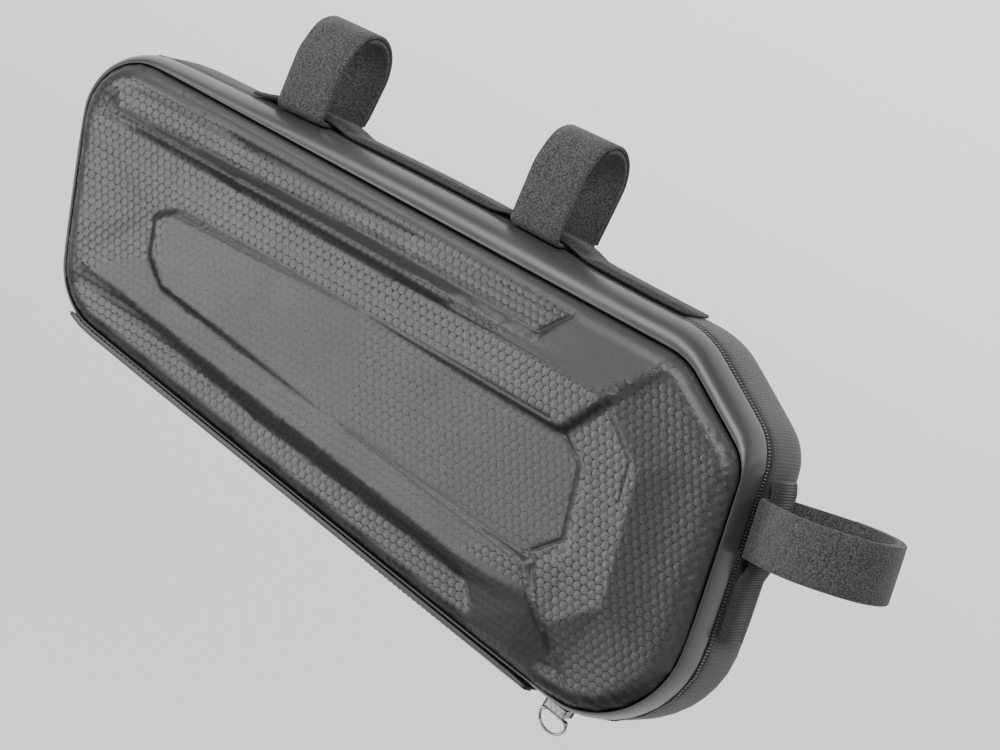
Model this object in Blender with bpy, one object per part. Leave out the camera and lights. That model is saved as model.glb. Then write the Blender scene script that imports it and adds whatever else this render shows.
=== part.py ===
"""Bicycle frame bag: a zipped hard-shell case that hangs under a top tube on
two straps and is held to the seat tube by a third.

Frame: the origin is on the top tube's axis, midway between the two top straps.
+X runs along the bag's top edge towards the seat tube, +Y away from the zipped
front half towards the plain back half, +Z up. Lengths are in metres.
"""

import math

import bmesh
import bpy
from mathutils import Vector
from mathutils.geometry import delaunay_2d_cdt

# Case
PANEL_LENGTH = 0.3695      # front panel, front end to rear end
PANEL_HEIGHT = 0.1484      # front panel, top edge to its lowest corner
FRONT_REACH = 0.1605       # panel's front end ahead of the origin
HANG_DROP = 0.0355         # origin down to the panel's top edge
CASE_WIDTH = 0.057         # front seam plane to back face
FRONT_DEPTH = 0.014        # front seam plane to the zip
ZIP_WIDTH = 0.004          # gap between the halves that the tape closes
SHELL_WALL = 0.003         # moulded foam shell
TOP_BOW = 0.0026           # how far the top wall bows up at mid length
BACK_SWELL = 0.0006        # how far the back half stands out past the zip
BACK_ROUND = 0.012         # rounding from the side walls into the back face
CLEARANCE = 0.0003         # gap between pieces that touch

# Front panel relief, heights above the seam plane
SEAM_GROOVE = 0.0012       # groove between the panel and the side band
EDGE_RISE = 0.0024         # rolled edge of the panel
EDGE_ROLL = 0.0022         # how far in the rolled edge crests
CHANNEL_RISE = 0.0004      # floor of the upper channel
FACE_RISE_FRONT = 0.0035   # main face at the front end
FACE_RISE_REAR = 0.0125    # main face at the rear end
RIB_RISE = 0.0018          # rib above the main face
STEP_FRONT = 0.0030        # inner plate above the main face at its front end
STEP_REAR = 0.0034         # inner plate below the main face at its rear end
STEP_RUN = 0.0017          # width of the inner plate's edge

# Straps and webbing
TUBE_RADIUS = 0.0155       # top tube that the top straps close round
SEAT_TUBE_RADIUS = 0.024   # seat tube that the rear strap closes round
TUBE_RISE = 0.0422         # rise of the tube towards the seat, per unit length
STRAP_SPACING = 0.1225     # between the two top straps
STRAP_WIDTH = 0.024
STRAP_THICK = 0.0018
STRAP_BEND = 0.0035        # bend where a strap turns under its webbing
TUBE_TO_STRAP = 0.0004     # air between a tube and its strap
SEAT_STRAP_PLACE = 0.30    # seat strap's place down the rear wall, as a share
SEAT_TUBE_GAP = 0.0050     # rear wall to the seat tube
WEBBING_WIDTH = 0.022
WEBBING_THICK = 0.0014
ANCHOR_RUN = 0.011         # length in which a webbing climbs over a strap
HINGE_THICK = 0.0022       # strip over the bottom edge
HINGE_BACK = 0.008         # how far the hinge strip reaches behind the zip
HINGE_REACH = 0.60         # how far it runs on towards the slider, as a share

# Zip slider and ring
SLIDER_LENGTH = 0.010
SLIDER_WIDTH = 0.007
SLIDER_THICK = 0.0022
LUG_RADIUS = 0.0016
LUG_LENGTH = 0.0022
RING_WIDTH = 0.0125        # puller ring along the zip
RING_DROP = 0.0085         # puller ring from its pin to its lowest point
RING_WIRE = 0.0007         # puller ring, wire radius
PIN_HOLE = 0.0011          # radius of the lug's hole for the ring

SEAM_Y = -CASE_WIDTH / 2
ZIP_Y = SEAM_Y + FRONT_DEPTH
BACK_Y = CASE_WIDTH / 2
TOP_Z = -HANG_DROP
FRONT_X = -FRONT_REACH

ARC_STEPS = 6
EDGE_STEPS = {"top": 14, "shoulder": 3, "rear": 8, "bottom": 12, "front": 5}

# Corners of the front panel, clockwise from the front top one: along and down
# are shares of the panel's length and height, the radius a share of its height.
CORNERS = [
    ("front_top", 0.000, 0.000, 0.160),
    ("shoulder", 0.845, 0.000, 0.200),
    ("rear_top", 0.954, 0.165, 0.120),
    ("rear_bottom", 1.000, 1.000, 0.270),
    ("front_bottom", 0.100, 0.716, 0.215),
]

# The edge that follows each corner, and how far its wall stands out at the zip,
# at the edge's start and at its end.
EDGES = [
    ("top", 0.0050, 0.0118),
    ("shoulder", 0.0090, 0.0090),
    ("rear", 0.0035, 0.0035),
    ("bottom", 0.0045, 0.0045),
    ("front", 0.0060, 0.0060),
]

# Crease points of the front panel: along and down as shares, the level that
# the height starts from, and the height above that level in metres.
CREASES = {
    "channel_a": (0.064, 0.086, "channel", 0.0020),
    "channel_b": (0.249, 0.068, "channel", 0),
    "channel_c": (0.481, 0.062, "channel", 0.0004),
    "channel_d": (0.713, 0.036, "channel", 0.0026),
    "channel_e": (0.686, 0.120, "channel", 0.0046),
    "channel_f": (0.491, 0.115, "channel", 0.0014),
    "channel_g": (0.262, 0.127, "channel", 0.0004),
    "channel_h": (0.068, 0.143, "channel", 0.0024),
    "end_top": (0.717, 0.036, "channel", 0.0032),
    "end_low": (0.690, 0.122, "face", -0.0030),
    "rib_a": (0.060, 0.160, "face", RIB_RISE * 0.5),
    "rib_b": (0.267, 0.149, "face", RIB_RISE),
    "rib_c": (0.497, 0.144, "face", RIB_RISE),
    "rib_d": (0.681, 0.147, "face", RIB_RISE * 0.3),
    "foot_a": (0.048, 0.184, "face", 0),
    "foot_b": (0.274, 0.181, "face", -0.0003),
    "foot_c": (0.506, 0.187, "face", -0.0003),
    "foot_d": (0.631, 0.184, "face", -0.0002),
    "ridge": (0.793, 0.182, "face", 0),
    "ridge_top": (0.843, 0.024, "edge", 0.0004),
    "band_end": (0.760, 0.302, "face", 0),
    "ridge_low": (0.799, 0.190, "ring", 0),
    "band_low": (0.766, 0.312, "ring", 0),
    "ring_b": (0.860, 0.309, "ring", 0),
    "ring_c": (0.889, 0.666, "ring", 0),
    "ring_d": (0.838, 0.780, "ring", -0.0004),
    "corner_fold": (0.940, 0.200, "edge", 0.0006),
    "low_fold": (0.968, 0.750, "edge", 0.0006),
    "valley_a": (0.789, 0.676, "face", 0),
    "valley_b": (0.815, 0.762, "face", -0.0008),
    "valley_c": (0.868, 0.880, "edge", 0.0008),
    "valley_d": (0.794, 0.671, "ring", 0),
    "valley_e": (0.821, 0.760, "ring", 0),
    "slope_a": (0.114, 0.579, "face", 0),
    "slope_b": (0.443, 0.674, "face", 0),
    "slope_c": (0.714, 0.749, "face", 0),
    "sole_a": (0.127, 0.636, "edge", 0),
    "sole_b": (0.408, 0.718, "edge", 0),
    "sole_c": (0.716, 0.799, "edge", 0),
    "sole_d": (0.752, 0.884, "edge", 0),
}

CREASE_LINES = [
    "channel_a channel_b channel_c channel_d channel_e channel_f channel_g channel_h channel_a",
    "end_top end_low rib_d",
    "rib_a rib_b rib_c rib_d",
    "foot_a foot_b foot_c foot_d ridge",
    "ridge_top ridge band_end",
    "band_low ridge_low ring_b ring_c ring_d valley_e valley_d",
    "ring_b corner_fold",
    "ring_c low_fold",
    "valley_a valley_b valley_c valley_e",
    "slope_a slope_b slope_c valley_b",
    "sole_a sole_b sole_c sole_d",
]

# Outline of the inner plate, clockwise, with the level of the face outside it.
PLATE = [
    (0.207, 0.313, "face"),
    (0.474, 0.303, "face"),
    (0.754, 0.309, "face"),
    (0.765, 0.320, "ring"),
    (0.808, 0.384, "ring"),
    (0.827, 0.593, "ring"),
    (0.797, 0.662, "ring"),
    (0.786, 0.668, "face"),
    (0.517, 0.604, "face"),
    (0.228, 0.530, "face"),
    (0.196, 0.469, "face"),
    (0.180, 0.353, "face"),
]

COLLECTION = "frame_bag"


def fresh_scene():
    for obj in list(bpy.data.objects):
        bpy.data.objects.remove(obj, do_unlink=True)
    collection = bpy.data.collections.new(COLLECTION)
    bpy.context.scene.collection.children.link(collection)
    return collection


def finish(name, colour, roughness, metallic=0.0):
    material = bpy.data.materials.new(name)
    material.use_nodes = True
    shader = material.node_tree.nodes["Principled BSDF"]
    shader.inputs["Base Color"].default_value = (*colour, 1.0)
    shader.inputs["Roughness"].default_value = roughness
    shader.inputs["Metallic"].default_value = metallic
    return material


def add_object(name, mesh, material):
    obj = bpy.data.objects.new(name, mesh)
    mesh.materials.append(material)
    bpy.data.collections[COLLECTION].objects.link(obj)
    mesh.shade_smooth()
    mesh.set_sharp_from_angle(angle=math.radians(35))
    return obj


def mesh_of(name, bm):
    bm.normal_update()
    bmesh.ops.recalc_face_normals(bm, faces=bm.faces)
    mesh = bpy.data.meshes.new(name)
    bm.to_mesh(mesh)
    bm.free()
    return mesh


def cross(a, b):
    return a.x * b.y - a.y * b.x


def panel_point(along, down):
    return Vector((FRONT_X + along * PANEL_LENGTH, TOP_Z - down * PANEL_HEIGHT))


def corner_points(offsets):
    """Sharp corners of the panel with each edge moved out by its own pair of
    offsets, one at its start and one at its end."""
    sharp = [panel_point(along, down) for _, along, down, _ in CORNERS]
    lines = []
    for i, start in enumerate(sharp):
        end = sharp[(i + 1) % len(sharp)]
        run = (end - start).normalized()
        out = Vector((-run.y, run.x))
        moved_start = start + out * offsets[i][0]
        lines.append((moved_start, (end + out * offsets[i][1] - moved_start).normalized()))
    moved = []
    for i, (point, run) in enumerate(lines):
        before, before_run = lines[i - 1]
        t = cross(point - before, run) / cross(before_run, run)
        moved.append(before + before_run * t)
    return moved


def bow_at(t):
    return math.sin(math.pi * t) ** 2


def outline(stand=0.0, lift=0.0):
    """Rounded outline as (edge name, share along it, point) rows, clockwise.

    stand is the share of each wall's own stand-out at the zip, and lift an
    extra distance that is the same all round.
    """
    offsets = [(stand * start + lift, stand * end + lift) for _, start, end in EDGES]
    corners = corner_points(offsets)
    rows = []
    arcs = []
    for i, corner in enumerate(corners):
        radius = CORNERS[i][3] * PANEL_HEIGHT + (offsets[i][0] + offsets[i - 1][1]) / 2
        run_in = (corner - corners[i - 1]).normalized()
        run_out = (corners[(i + 1) % len(corners)] - corner).normalized()
        turn = math.acos(max(-1.0, min(1.0, run_in.dot(run_out))))
        cut = radius * math.tan(turn / 2)
        start = corner - run_in * cut
        centre = start + Vector((run_in.y, -run_in.x)) * radius
        spoke = start - centre
        points = []
        for k in range(ARC_STEPS + 1):
            a = -turn * k / ARC_STEPS
            turned = Vector((spoke.x * math.cos(a) - spoke.y * math.sin(a),
                             spoke.x * math.sin(a) + spoke.y * math.cos(a)))
            points.append(centre + turned)
        arcs.append(points)
    for i, points in enumerate(arcs):
        edge = EDGES[i][0]
        rows += [(CORNERS[i][0], k / ARC_STEPS, p) for k, p in enumerate(points)]
        end, start = arcs[(i + 1) % len(arcs)][0], points[-1]
        steps = EDGE_STEPS[edge]
        for k in range(1, steps):
            t = k / steps
            point = start.lerp(end, t)
            if edge == "top":
                point.y += TOP_BOW * stand * bow_at(t)
            rows.append((edge, t, point))
    return rows


def wall_rows(edge):
    """Points of one wall's straight run at the zip, with both of its ends."""
    rows = outline(1.0, 0.0)
    chosen = [i for i, row in enumerate(rows) if row[0] == edge]
    chosen = [chosen[0] - 1] + chosen + [(chosen[-1] + 1) % len(rows)]
    return [rows[i][2] for i in chosen]


def ring(stand, lift, y):
    return [Vector((p.x, y, p.y)) for _, _, p in outline(stand, lift)]


def wall_path(edge, start, end, lift):
    """Points along one wall, from share start to share end of its straight
    run, each lifted off the wall by what lift(t) gives."""
    base = wall_rows(edge)
    path = []
    steps = 44
    for k in range(steps + 1):
        t = start + (end - start) * k / steps
        j = min(len(base) - 2, int(t * (len(base) - 1)))
        part = t * (len(base) - 1) - j
        run = base[j + 1] - base[j]
        out = Vector((-run.y, run.x)).normalized()
        place = base[j] + run * part + out * lift(t)
        path.append((Vector((place.x, 0, place.y)), Vector((out.x, 0, out.y))))
    return path


def wall_length(edge):
    rows = wall_rows(edge)
    return sum((b - a).length for a, b in zip(rows, rows[1:]))


def skin(rings, closed_section, caps):
    """Quads between rings of equal count. closed_section joins the last ring
    to the first; caps fills the first and last ring."""
    bm = bmesh.new()
    loops = [[bm.verts.new(p) for p in ring_points] for ring_points in rings]
    pairs = list(zip(loops, loops[1:]))
    if closed_section:
        pairs.append((loops[-1], loops[0]))
    for a, b in pairs:
        count = len(a)
        for i in range(count):
            j = (i + 1) % count
            bm.faces.new((a[i], a[j], b[j], b[i]))
    if caps:
        bm.faces.new(loops[0])
        bm.faces.new(loops[-1])
    return bm


def strip(sections):
    """A bar swept through rectangular or other sections of equal count, capped
    at both ends."""
    return skin(sections, False, True)


def face_rise(along):
    return FACE_RISE_FRONT + (FACE_RISE_REAR - FACE_RISE_FRONT) * along


def plate_step(along):
    """Height of the inner plate over the main face: it tips from proud at its
    front end to sunk at its rear end."""
    start, end = PLATE[-1][0], PLATE[5][0]
    t = (along - start) / (end - start)
    return STEP_FRONT * (1 - t) - STEP_REAR * t


def level(kind, along):
    if kind == "channel":
        return CHANNEL_RISE
    if kind == "edge":
        return EDGE_RISE
    if kind == "ring":
        return face_rise(along) - STEP_REAR * 0.85
    return face_rise(along)


def inset(points, distance):
    """A polygon's corners moved in, each edge by the same distance."""
    count = len(points)
    moved = []
    for i, point in enumerate(points):
        run_in = (point - points[i - 1]).normalized()
        run_out = (points[(i + 1) % count] - point).normalized()
        normal_in = Vector((run_in.y, -run_in.x))
        normal_out = Vector((run_out.y, -run_out.x))
        mid = (normal_in + normal_out).normalized()
        moved.append(point + mid * distance / max(0.5, mid.dot(normal_in)))
    return moved


def front_panel(material):
    seam = [row[2] for row in outline(0.0, 0.0)]
    crest = [row[2] for row in outline(0.0, -EDGE_ROLL)]
    points, heights, edges = [], [], []

    def loop(loop_points, loop_heights):
        first = len(points)
        points.extend(loop_points)
        heights.extend(loop_heights)
        count = len(loop_points)
        edges.extend((first + i, first + (i + 1) % count) for i in range(count))
        return list(range(first, first + count))

    border = loop(seam, [0.0] * len(seam))
    loop(crest, [EDGE_RISE] * len(crest))
    foot = [panel_point(along, down) for along, down, _ in PLATE]
    loop(foot, [level(kind, along) for along, _, kind in PLATE])
    loop(inset(foot, STEP_RUN), [face_rise(a) + plate_step(a) for a, _, _ in PLATE])
    place = {}
    for name, (along, down, kind, extra) in CREASES.items():
        place[name] = len(points)
        points.append(panel_point(along, down))
        heights.append(level(kind, along) + extra)
    for line in CREASE_LINES:
        names = line.split()
        edges.extend((place[a], place[b]) for a, b in zip(names, names[1:]))

    flat, _, faces, origins, _, _ = delaunay_2d_cdt(points, edges, [border], 1, 1e-6)
    bm = bmesh.new()
    verts = []
    for where, origin in zip(flat, origins):
        if origin:
            height = heights[origin[0]]
        else:
            near = min(range(len(points)), key=lambda i: (points[i] - where).length)
            height = heights[near]
        verts.append(bm.verts.new((where.x, SEAM_Y - height, where.y)))
    front = [bm.faces.new([verts[i] for i in face]) for face in faces]
    grown = bmesh.ops.extrude_face_region(bm, geom=front)["geom"]
    back = [item for item in grown if isinstance(item, bmesh.types.BMVert)]
    bmesh.ops.translate(bm, verts=back, vec=(0, SHELL_WALL, 0))
    return add_object("front_panel", mesh_of("front_panel", bm), material)


def band_point(angle, wall):
    """Share of stand-out, lift and depth of the side band at an angle of its
    quarter round, wall metres inside the outer face."""
    stand = math.sin(angle)
    lift = SEAM_GROOVE * (1 - stand) - wall
    depth = (FRONT_DEPTH - wall) * (1 - math.cos(angle)) + wall
    return stand, lift, SEAM_Y + depth


def side_band(material):
    angles = [math.radians(a) for a in (0, 14, 32, 52, 72, 90)]
    lip_front = SEAM_Y + SHELL_WALL + CLEARANCE
    lip_back = lip_front + SHELL_WALL
    lip_in = -(EDGE_ROLL + SHELL_WALL)
    section = [band_point(a, 0.0) for a in angles]
    section += [(1.0, -SHELL_WALL, ZIP_Y)]
    section += [(0.80, -SHELL_WALL, SEAM_Y + 0.66 * FRONT_DEPTH)]
    section += [(0.30, -SHELL_WALL, lip_back)]
    section += [(0.0, lip_in, lip_back)]
    section += [(0.0, lip_in, lip_front)]
    section += [(0.0, CLEARANCE, lip_front)]
    rings = [ring(*point) for point in section]
    return add_object("side_band", mesh_of("side_band", skin(rings, True, False)), material)


def zip_tape(material):
    front = ZIP_Y + CLEARANCE
    back = ZIP_Y + ZIP_WIDTH - CLEARANCE
    middle = (front + back) / 2
    section = [
        (1.0, -0.0012, front),
        (1.0, -0.0002, middle - 0.0008),
        (1.0, -0.0002, middle + 0.0008),
        (1.0, -0.0012, back),
        (1.0, -0.0026, back),
        (1.0, -0.0026, front),
    ]
    rings = [ring(*point) for point in section]
    return add_object("zip_tape", mesh_of("zip_tape", skin(rings, True, False)), material)


def back_shell(material):
    start = ZIP_Y + ZIP_WIDTH
    turn = BACK_Y - BACK_ROUND
    outer = [(1.0, 0.0, start), (1.0, BACK_SWELL, start + 0.004), (1.0, BACK_SWELL, turn - 0.006)]
    for degrees in (10, 30, 50, 70, 90):
        a = math.radians(degrees)
        outer.append((1.0 - 0.5 * math.sin(a) ** 2,
                      -BACK_ROUND * (1 - math.cos(a)),
                      turn + BACK_ROUND * math.sin(a)))
    inner = []
    for stand, lift, y in outer:
        depth = min(y, BACK_Y - SHELL_WALL)
        inner.append((stand, lift - SHELL_WALL, depth))
    inner = inner[:-1]
    rings = [ring(*point) for point in reversed(inner)] + [ring(*point) for point in outer]
    return add_object("back_shell", mesh_of("back_shell", skin(rings, False, True)), material)


def flat_section(centre, out, side, width, thick):
    """Rectangle of a webbing or strap: side runs across its width and out
    through its thickness."""
    half, rise = side * (width / 2), out * (thick / 2)
    return [centre - half - rise, centre + half - rise, centre + half + rise, centre - half + rise]


def webbing(name, edge, start, end, humps, material):
    """A webbing strip along one wall that climbs over the straps at humps,
    each the strap's place as a share of the wall's length."""
    length = wall_length(edge)
    seat = BACK_SWELL + CLEARANCE + WEBBING_THICK / 2
    over = STRAP_THICK + 3 * CLEARANCE

    def lift(t):
        rise = 0.0
        for place in humps:
            away = abs(t - place) * length - (STRAP_WIDTH / 2 + 0.0015)
            part = max(0.0, min(1.0, 1 - away / ANCHOR_RUN))
            rise = max(rise, part * part * (3 - 2 * part))
        return seat + over * rise

    side = Vector((0, 1, 0))
    path = wall_path(edge, start, end, lift)
    sections = []
    for i, (point, _) in enumerate(path):
        before = path[max(0, i - 1)][0]
        after = path[min(len(path) - 1, i + 1)][0]
        run = (after - before).normalized()
        out = run.cross(side).normalized()
        if out.dot(path[i][1]) < 0:
            out = -out
        sections.append(flat_section(point, out, side, WEBBING_WIDTH, WEBBING_THICK))
    return add_object(name, mesh_of(name, strip(sections)), material)


def band_round(circles, angle, extra):
    """Point of a tight band round the circles, at the angle of its outward
    normal, extra metres further out."""
    normal = Vector((math.cos(angle), math.sin(angle)))
    best = max(circles, key=lambda c: c[0] * normal.x + c[1] * normal.y + c[2])
    return Vector((best[0], best[1])) + normal * (best[2] + extra), normal


def strap_loop(name, circles, origin, far, up, across, material):
    """A hook-and-loop strap closed round the circles, which lie in the plane
    of far and up. It starts near the top, goes round by the far side, the
    bag and the near side, and laps over its own start down to the far side.
    across holds its width's direction at the tube and at the bag."""
    first, lap = math.radians(112), math.radians(122)
    ramp = math.radians(46)
    step = math.radians(6)
    total = 2 * math.pi + lap
    count = int(round(total / step))
    sections = []
    for k in range(count + 1):
        gone = total * k / count
        part = max(0.0, min(1.0, (gone - (2 * math.pi - ramp)) / (ramp * 0.9)))
        extra = (STRAP_THICK + CLEARANCE) * part * part * (3 - 2 * part)
        point, normal = band_round(circles, first - gone, extra)
        place = origin + far * point.x + up * point.y
        out = far * normal.x + up * normal.y
        width = across[0].lerp(across[1], max(0.0, -normal.y)).normalized()
        sections.append(flat_section(place, out, width, STRAP_WIDTH, STRAP_THICK))
    return add_object(name, mesh_of(name, strip(sections)), material)


def tube_axis_height(x):
    return x * TUBE_RISE


def top_wall_height(x):
    rows = [row[2] for row in outline(1.0, 0.0)]
    best = -1.0
    for a, b in zip(rows, rows[1:]):
        if min(a.x, b.x) <= x <= max(a.x, b.x) and a.x != b.x:
            best = max(best, a.y + (b.y - a.y) * (x - a.x) / (b.x - a.x))
    return best


def top_strap(name, x, material):
    """A strap round the top tube whose lowest run lies on the bag's top wall,
    under the webbing."""
    axis = Vector((x, 0, tube_axis_height(x)))
    half = STRAP_WIDTH / 2
    ends = [top_wall_height(x - half), top_wall_height(x + half)]
    middle = max(top_wall_height(x), sum(ends) / 2)
    run = middle + BACK_SWELL + CLEARANCE + STRAP_THICK / 2 - axis.z
    half_run = WEBBING_WIDTH / 2 + 0.001
    circles = [
        (0.0, 0.0, TUBE_RADIUS + TUBE_TO_STRAP + STRAP_THICK / 2),
        (-half_run, run + STRAP_BEND, STRAP_BEND),
        (half_run, run + STRAP_BEND, STRAP_BEND),
    ]
    across = (Vector((1, 0, TUBE_RISE)), Vector((STRAP_WIDTH, 0, ends[1] - ends[0])))
    across = [direction.normalized() for direction in across]
    return strap_loop(name, circles, axis, Vector((0, 1, 0)), Vector((0, 0, 1)), across,
                      material)


def rear_frame():
    """Point on the rear wall where the seat strap sits, the wall's outward
    direction and its direction up."""
    rows = wall_rows("rear")
    top, low = rows[0], rows[-1]
    place = top.lerp(low, SEAT_STRAP_PLACE)
    run = (top - low).normalized()
    up = Vector((run.x, 0, run.y))
    out = Vector((run.y, 0, -run.x))
    return Vector((place.x, 0, place.y)), out, up


def seat_strap(material):
    place, out, up = rear_frame()
    tube = place + out * (SEAT_TUBE_GAP + SEAT_TUBE_RADIUS)
    run = SEAT_TUBE_GAP + SEAT_TUBE_RADIUS - (BACK_SWELL + CLEARANCE + STRAP_THICK / 2)
    half_run = WEBBING_WIDTH / 2 + 0.001
    circles = [
        (0.0, 0.0, SEAT_TUBE_RADIUS + TUBE_TO_STRAP + STRAP_THICK / 2),
        (-half_run, -run + STRAP_BEND, STRAP_BEND),
        (half_run, -run + STRAP_BEND, STRAP_BEND),
    ]
    return strap_loop("seat_strap", circles, tube, Vector((0, 1, 0)), out, (up, up), material)


def hinge_strip(material):
    """Strip sewn over the bottom edge, from the front seam back past the zip:
    it is the hinge that the front half opens on."""
    rows = outline(1.0, 0.0)
    chosen = [i for i, row in enumerate(rows) if row[0] == "bottom"]
    chosen += [i for i, row in enumerate(rows) if row[0] == "front_bottom" and row[1] < 0.35]
    angles = [math.radians(a) for a in (14, 32, 52, 72, 90)]
    section = [band_point(a, 0.0) for a in angles]
    section.append((1.0, BACK_SWELL, ZIP_Y + HINGE_BACK))
    inner = [(s, lift + CLEARANCE + 0.0003, y) for s, lift, y in section]
    outer = [(s, lift + CLEARANCE + HINGE_THICK, y) for s, lift, y in section]
    loops = [ring(*point) for point in inner + outer[::-1]]
    sections = [[loop[i] for loop in loops] for i in chosen]
    first = chosen[0]
    sections.insert(0, [loop[first].lerp(loop[first - 1], HINGE_REACH) for loop in loops])
    return add_object("hinge_strip", mesh_of("hinge_strip", strip(sections)), material)


def zip_place():
    """Place, zip direction and outward direction of the slider, which is
    parked just past the rear end of the hinge strip."""
    rows = outline(1.0, 0.0)
    last = [row for row in rows if row[0] == "rear_bottom"][-1][2]
    first = [row for row in rows if row[0] == "bottom"][-1][2]
    run = (first - last).normalized()
    place = last - run * (0.25 * SLIDER_LENGTH)
    along = Vector((-run.x, 0, -run.y))
    out = Vector((-run.y, 0, run.x))
    return Vector((place.x, ZIP_Y + ZIP_WIDTH / 2, place.y)), along, out


def box(bm, centre, axes, sizes):
    made = bmesh.ops.create_cube(bm, size=1.0)["verts"]
    for vert in made:
        local = vert.co.copy()
        vert.co = centre + sum((axes[i] * (local[i] * sizes[i]) for i in range(3)), Vector())
    return made


def boolean(obj, cutter, operation):
    modifier = obj.modifiers.new("join", "BOOLEAN")
    modifier.operation = operation
    modifier.object = cutter
    modifier.solver = "EXACT"


def helper(name, bm, cutters):
    mesh = mesh_of(name, bm)
    obj = bpy.data.objects.new(name, mesh)
    cutters.objects.link(obj)
    obj.hide_render = True
    obj.display_type = "WIRE"
    return obj


def rod(bm, start, end, radius, sides):
    run = end - start
    made = bmesh.ops.create_cone(bm, cap_ends=True, segments=sides, radius1=radius,
                                 radius2=radius, depth=run.length)["verts"]
    turn = run.to_track_quat("Z", "Y").to_matrix()
    for vert in made:
        vert.co = turn @ vert.co + (start + end) / 2


def slider_seat():
    return BACK_SWELL + CLEARANCE


def pin_axis():
    place, along, out = zip_place()
    lift = slider_seat() + SLIDER_THICK + LUG_RADIUS * 1.1
    return place + out * lift, along, out


def zip_slider(material, cutters):
    """Slider body with two lugs that carry the ring's ends."""
    place, along, out = zip_place()
    pin, _, _ = pin_axis()
    side = Vector((0, 1, 0))
    bm = bmesh.new()
    box(bm, place + out * (slider_seat() + SLIDER_THICK / 2), (along, side, out),
        (SLIDER_LENGTH, SLIDER_WIDTH, SLIDER_THICK))
    bmesh.ops.bevel(bm, geom=list(bm.edges), offset=SLIDER_THICK * 0.22, segments=1,
                    affect="EDGES")
    slider = add_object("zip_slider", mesh_of("zip_slider", bm), material)
    reach = SLIDER_LENGTH / 2 - LUG_LENGTH / 2 - SLIDER_THICK * 0.25
    for number, sign in enumerate((-1, 1)):
        middle = pin + along * (sign * reach)
        lug = bmesh.new()
        rod(lug, middle - along * (LUG_LENGTH / 2), middle + along * (LUG_LENGTH / 2),
            LUG_RADIUS, 16)
        boolean(slider, helper("lug_%d" % number, lug, cutters), "UNION")
        post = bmesh.new()
        box(post, middle - out * (LUG_RADIUS * 0.8), (along, side, out),
            (LUG_LENGTH * 0.98, LUG_RADIUS * 1.9, LUG_RADIUS * 1.6))
        boolean(slider, helper("post_%d" % number, post, cutters), "UNION")
    hole = bmesh.new()
    rod(hole, pin - along * SLIDER_LENGTH, pin + along * SLIDER_LENGTH, PIN_HOLE, 14)
    boolean(slider, helper("pin_hole", hole, cutters), "DIFFERENCE")
    return slider


def zip_ring(material):
    """D-shaped wire ring whose straight side turns in the slider's lugs."""
    pin, along, _ = pin_axis()
    down = Vector((0, 0, -1))
    half, drop = RING_WIDTH / 2, RING_DROP - RING_WIRE
    shape = [(-half, 0.0), (half, 0.0)]
    for k in range(9):
        a = math.pi * k / 8
        shape.append((half * 1.08 * math.cos(a), drop * (0.30 + 0.70 * math.sin(a))))
    centre_line = [pin + along * u + down * v for u, v in shape]
    sections = []
    count = len(centre_line)
    plane = along.cross(down).normalized()
    for i, point in enumerate(centre_line):
        run_in = (point - centre_line[i - 1]).normalized()
        run_out = (centre_line[(i + 1) % count] - point).normalized()
        bisector = (run_in + run_out).normalized()
        out = bisector.cross(plane).normalized()
        stretch = 1 / max(0.6, bisector.dot(run_in))
        sections.append([point + out * (math.cos(a) * RING_WIRE * stretch)
                         + plane * (math.sin(a) * RING_WIRE)
                         for a in (math.tau * k / 8 for k in range(8))])
    bm = skin(sections, True, False)
    return add_object("zip_ring", mesh_of("zip_ring", bm), material)


def build():
    fresh_scene()
    cutters = bpy.data.collections.new("cutters")
    bpy.context.scene.collection.children.link(cutters)
    shell = finish("shell_skin", (0.060, 0.060, 0.062), 0.55)
    smooth = finish("band_skin", (0.085, 0.085, 0.087), 0.42)
    cloth = finish("gusset_cloth", (0.030, 0.030, 0.032), 0.85)
    tape = finish("zip_cloth", (0.012, 0.012, 0.013), 0.80)
    loop = finish("strap_loop_pile", (0.050, 0.050, 0.052), 0.95)
    ribbed = finish("webbing_rib", (0.028, 0.028, 0.030), 0.90)
    steel = finish("plated_steel", (0.70, 0.70, 0.70), 0.25, 1.0)

    front_panel(shell)
    side_band(smooth)
    zip_tape(tape)
    back_shell(cloth)
    hinge_strip(smooth)
    strap_x = STRAP_SPACING / 2
    top = [point.x for point in wall_rows("top")]
    top_places = [(x - top[0]) / (top[-1] - top[0]) for x in (-strap_x, strap_x)]
    webbing("top_webbing", "top", 0.148, 0.99, top_places, ribbed)
    webbing("rear_webbing", "rear", 0.02, 0.97, [SEAT_STRAP_PLACE], ribbed)
    top_strap("top_strap_front", -strap_x, loop)
    top_strap("top_strap_rear", strap_x, loop)
    seat_strap(loop)
    zip_slider(steel, cutters)
    zip_ring(steel)


build()
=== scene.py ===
"""Looks of the bicycle frame bag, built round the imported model.

Frame: origin on the axis of the two top straps' loops, midway between them, +X
along the bag to its rear end, +Y from the patterned front half to the back
half, +Z up, all in metres.
"""

import math

import bmesh
import bpy
import numpy as np
from mathutils import Matrix, Vector
from mathutils.bvhtree import BVHTree
from mathutils.geometry import delaunay_2d_cdt
from mathutils.kdtree import KDTree


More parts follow.
